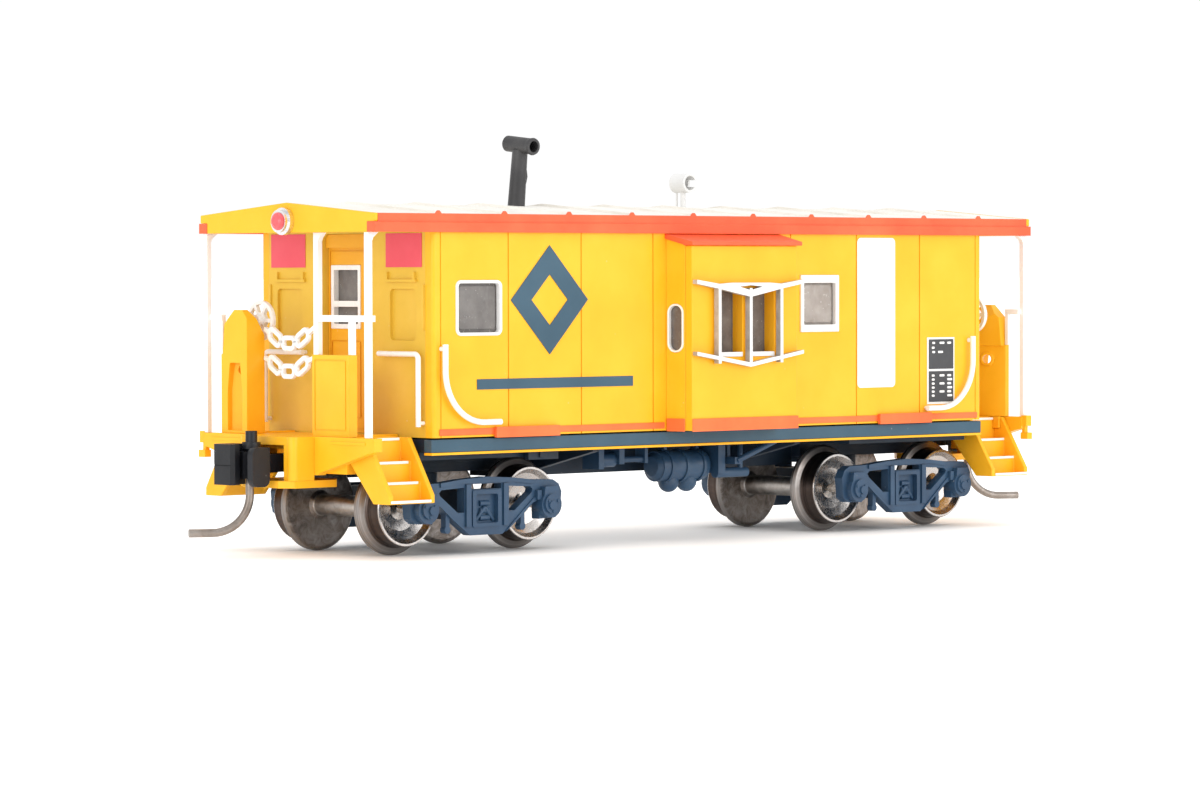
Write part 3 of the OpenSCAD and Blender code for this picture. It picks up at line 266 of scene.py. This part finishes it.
def clear():
    """Clear plastic panes with painted light: painted shade darkest in the bays and dark in the left windows, a
    paler painted reflection in the right windows; pale streaks that are partly smears and partly painted
    reflection; dust specks, thickest in the right windows.
    """
    m = Mat("window_glass", rough=0.2)
    m.b.inputs["Transmission Weight"].default_value = 0.35
    m.b.inputs["IOR"].default_value = 1.3
    sep = m.node("ShaderNodeSeparateXYZ")
    m.link(m.coord, sep.inputs[0])
    along = m.math("ABSOLUTE", sep.outputs["X"])
    haze = m.noise(520, 6, 0.62)
    # painted tones of the panes: painted shade in the left windows and the bays, a paler painted reflection in the
    # right windows
    left_pane_shade = m.ramp(haze, [(0.32, (0.20, 0.185, 0.175)), (0.68, (0.33, 0.31, 0.295))])
    pale = m.ramp(haze, [(0.32, (0.40, 0.35, 0.31)), (0.68, (0.60, 0.545, 0.50))])
    bay = m.ramp(haze, [(0.32, (0.15, 0.13, 0.12)), (0.68, (0.30, 0.265, 0.24))])
    past_bay = m.span(along, *BAY_END, 0.0, 1.0)
    right = m.math("MULTIPLY", past_bay, m.span(along, *RIGHT_WINDOW_END, 1.0, 0.0), True)
    tone = m.mix(right, m.mix(past_bay, bay, left_pane_shade), pale)
    # pale vertical streaks, partly smears and partly painted reflection, stronger in the right windows
    smear_and_sheen_streak = m.noise(900, 5, 0.7, vec=m.mapped((1, 1, 0.25)), dist=2.0)
    more_right = m.math("ADD", m.math("MULTIPLY", right, 0.7), 0.3)
    soft = m.math("MULTIPLY", m.span(smear_and_sheen_streak, 0.58, 0.74, 0.0, 0.4), more_right)
    tone = m.mix(soft, tone, (0.72, 0.69, 0.66))
    vor = m.node("ShaderNodeTexVoronoi", Scale=1900)
    m.link(m.coord, vor.inputs["Vector"])
    dust = m.math("ADD", m.math("MULTIPLY", right, 0.35), 0.08)
    dot = m.math("MULTIPLY", m.span(vor.outputs["Distance"], 0.06, 0.16, 1.0, 0.0), dust)
    m.color(m.mix(dot, tone, (0.95, 0.93, 0.9)))
    m.roughness(m.span(m.noise(2200, 5, 0.7), 0.35, 0.7, 0.08, 0.3))
    m.normal(m.bump(m.noise(1500, 5, 0.6), 0.1, 0.00003))
    return m.m


glass = clear()


def jewel():
    """Glossy red lens of the end lamps."""
    m = Mat("lamp_red", rough=0.12)
    m.b.inputs["Coat Weight"].default_value = 0.6
    m.color(m.ramp(m.noise(1800, 3, 0.5), [(0.3, (0.74, 0.05, 0.06)), (0.7, (0.9, 0.1, 0.115))]))
    m.roughness(m.span(m.noise(2500, 3, 0.5), 0.3, 0.7, 0.08, 0.2))
    return m.m


lamp = jewel()

# material of each node; the rest are cab yellow
look = {
    "roof": roofm, "roof_fascia": orange, "bay_canopies": orange, "lower_stripe": stripe,
    "smoke_jack": dark, "roof_vent": horn, "floor": blue, "side_sills": sill, "center_sill": blue,
    "cross_arms": blue, "air_tank": truck, "brake_gear": truck, "frames_a": truck, "frames_b": truck,
    "bolster_a": blue, "bolster_b": blue, "metal_weight": weight, "step_edges": white,
    "brake_wheels": white, "end_rails": white, "chains": white, "grab_irons": white, "window_frames": white,
    "bay_windows": white, "bay_guards": sprue, "placards": white, "glazing": glass, "red_panels": red,
    "data_panels": panel, "emblems": sill, "end_lamps": lamp, "lamp_rings": chrome, "coupler_a": black,
    "coupler_b": black, "trip_pin_a": pin, "trip_pin_b": pin, "end_doors": door_shade_yellow,
    "end_wall_a": end_yellow_painted_shade, "end_wall_b": end_yellow_painted_shade,
}
# bevel width of the moulded edges, in mm
soft_edge = {
    "roof": 0.04, "chains": 0.1, "end_rails": 0.07, "bay_guards": 0.08, "brake_wheels": 0.05, "steps": 0.06,
    "frames_a": 0.05, "frames_b": 0.05, "coupler_a": 0.07, "coupler_b": 0.07, "brake_stands": 0.09,
    "box_posts": 0.07, "end_beams": 0.09, "coupler_pockets": 0.1, "pocket_lids": 0.09,
    "window_frames": 0.06, "roof_fascia": 0.07, "bay_canopies": 0.06, "gable_ends": 0.06,
    "lower_stripe": 0.04, "platforms": 0.06, "side_near_l": 0.04, "side_near_r": 0.04, "side_far_l": 0.04,
    "side_far_r": 0.04, "bay_faces": 0.06, "bay_cheeks": 0.05, "end_wall_a": 0.06, "end_wall_b": 0.06,
    "end_doors": 0.05, "side_sills": 0.05, "sill_strips": 0.03, "step_edges": 0.02, "bay_windows": 0.04,
    "air_tank": 0.05, "brake_gear": 0.05, "cross_arms": 0.04, "center_sill": 0.05, "bolster_a": 0.06,
    "bolster_b": 0.06,
}
for name, o in nodes.items():
    if name.startswith("wheelset"):
        lo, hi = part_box(name)
        mat = wheel("wheel_steel_" + name[-1], [(a + b) / 2 for a, b in zip(lo, hi)])
    else:
        mat = look.get(name, yellow)
    o.data.materials.clear()
    o.data.materials.append(mat)
    width = soft_edge.get(name, 0.0)
    if width:
        weld = o.modifiers.new("weld", "WELD")
        weld.merge_threshold = 1e-6
        bev = o.modifiers.new("edge", "BEVEL")
        bev.width = width * MM
        bev.segments = 2
        bev.limit_method = "ANGLE"
        bev.angle_limit = math.radians(38)
        bev.use_clamp_overlap = True
        bev.harden_normals = False
        nrm = o.modifiers.new("normals", "WEIGHTED_NORMAL")
        nrm.keep_sharp = True

# ---------------------------------------------------------------- plain marks on the dark side panels
def marks():
    """Rows of plain white dashes, a generic stand-in for small data blocks; one mesh for both sides."""
    panel_w, height, corner, raised, sunk = 2.66 * MM, 0.17 * MM, 0.06 * MM, 0.03 * MM, 0.002 * MM
    lo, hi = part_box("data_panels")
    x1, z0, z1, face = hi[0], lo[2], hi[2], hi[1]
    x0 = x1 - panel_w
    # height of each row, and where its dashes start as parts of the panel's width
    rows = [(z1 - 0.26 * MM, (0.12, 0.42, 0.74)), (z1 - 0.62 * MM, (0.1,)), (z1 - 0.94 * MM, (0.12, 0.36))]
    rows += [(z0 + (1.96 - 0.3 * i) * MM, (0.1, 0.74) if i % 2 else (0.1, 0.42, 0.74)) for i in range(6)]
    bm = bmesh.new()
    for turn in (1, -1):
        for k, (z, cols) in enumerate(rows):
            for n, c in enumerate(cols):
                w = (0.3 + 0.12 * ((k * 3 + n * 5) % 3)) * MM
                cx = x0 + c * panel_w + w / 2
                ring = [(sx * (w / 2 - corner) + corner * math.cos(a),
                         sz * (height / 2 - corner) + corner * math.sin(a))
                        for sx, sz, a0 in ((1, 1, 0), (-1, 1, 90), (-1, -1, 180), (1, -1, 270))
                        for a in (math.radians(a0), math.radians(a0 + 45), math.radians(a0 + 90))]
                back = [bm.verts.new((turn * (cx + u), -turn * (face + sunk), z + v)) for u, v in ring]
                top = [bm.verts.new((turn * (cx + u * 0.94), -turn * (face + raised), z + v * 0.88))
                       for u, v in ring]
                bm.faces.new(top)
                bm.faces.new(back[::-1])
                for i in range(len(ring)):
                    j = (i + 1) % len(ring)
                    bm.faces.new((back[i], back[j], top[j], top[i]))
    bmesh.ops.recalc_face_normals(bm, faces=bm.faces)
    me = bpy.data.meshes.new("panel_marks")
    bm.to_mesh(me)
    bm.free()
    o = bpy.data.objects.new("panel_marks", me)
    bpy.context.scene.collection.objects.link(o)
    me.materials.append(white)
    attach(o, "car")


marks()

# ---------------------------------------------------------------- floor, light, camera
bpy.ops.mesh.primitive_plane_add(size=60, location=(0, 0, 0))
floor = bpy.context.object
floor.name = "studio_floor"
pale = Mat("studio_floor", rough=0.6)
pale.color(pale.ramp(pale.noise(40, 2, 0.5), [(0.3, (0.90, 0.90, 0.895)), (0.7, (0.93, 0.93, 0.925))]))
# a little glow lifts the floor to white, and fades out within 5 mm of the wheels: a painted contact shadow
pale.b.inputs["Emission Color"].default_value = (1, 1, 1, 1)
near = pale.node("ShaderNodeAmbientOcclusion", Distance=5 * MM, samples=12)
glow_with_painted_contact_shadow = pale.math("MULTIPLY", pale.span(near.outputs["AO"], 0.35, 1.0, 0.0, 1.0), 0.34)
pale.link(glow_with_painted_contact_shadow, pale.b.inputs["Emission Strength"])
floor.data.materials.append(pale.m)

world = bpy.data.worlds.new("studio")
bpy.context.scene.world = world
world.use_nodes = True
sky = world.node_tree.nodes["Background"]
sky.inputs["Color"].default_value = (1, 1, 1, 1)
sky.inputs["Strength"].default_value = 1.02


def area(name, loc, aim, size, watts):
    """A soft box at loc that faces aim."""
    d = bpy.data.lights.new(name, "AREA")
    d.shape = "RECTANGLE"
    d.size, d.size_y = size
    d.energy = watts
    o = bpy.data.objects.new(name, d)
    o.location = loc
    o.rotation_euler = (Vector(aim) - Vector(loc)).to_track_quat("-Z", "Y").to_euler()
    bpy.context.scene.collection.objects.link(o)


area("key", (0.12, -0.5, 0.16), (0, 0, 0.012), (0.5, 0.25), 0.9)
area("left", (-0.55, -0.1, 0.16), (-0.02, 0, 0.012), (0.3, 0.25), 0.75)
area("top", (0.0, 0.0, 0.5), (0, 0, 0), (0.5, 0.5), 0.35)

cam_data = bpy.data.cameras.new("camera")
cam = bpy.data.objects.new("camera", cam_data)
bpy.context.scene.collection.objects.link(cam)
# the viewing angle: turned from +Y towards +X by yaw, down by pitch, about its own axis by roll
stand = (-0.2312, -0.2415, 0.0191)
yaw, pitch, roll = math.radians(43.32), math.radians(1.479), math.radians(-0.12)
fwd = Vector((math.sin(yaw) * math.cos(pitch), math.cos(yaw) * math.cos(pitch), -math.sin(pitch)))
cam.matrix_world = (Matrix.Translation(stand)
                    @ fwd.to_track_quat("-Z", "Y").to_matrix().to_4x4() @ Matrix.Rotation(roll, 4, "Z"))
cam_data.sensor_width = 36
cam_data.lens = 138.06
cam_data.clip_start = 0.01
cam_data.clip_end = 20
bpy.context.scene.camera = cam
bpy.context.scene.view_settings.view_transform = "Standard"
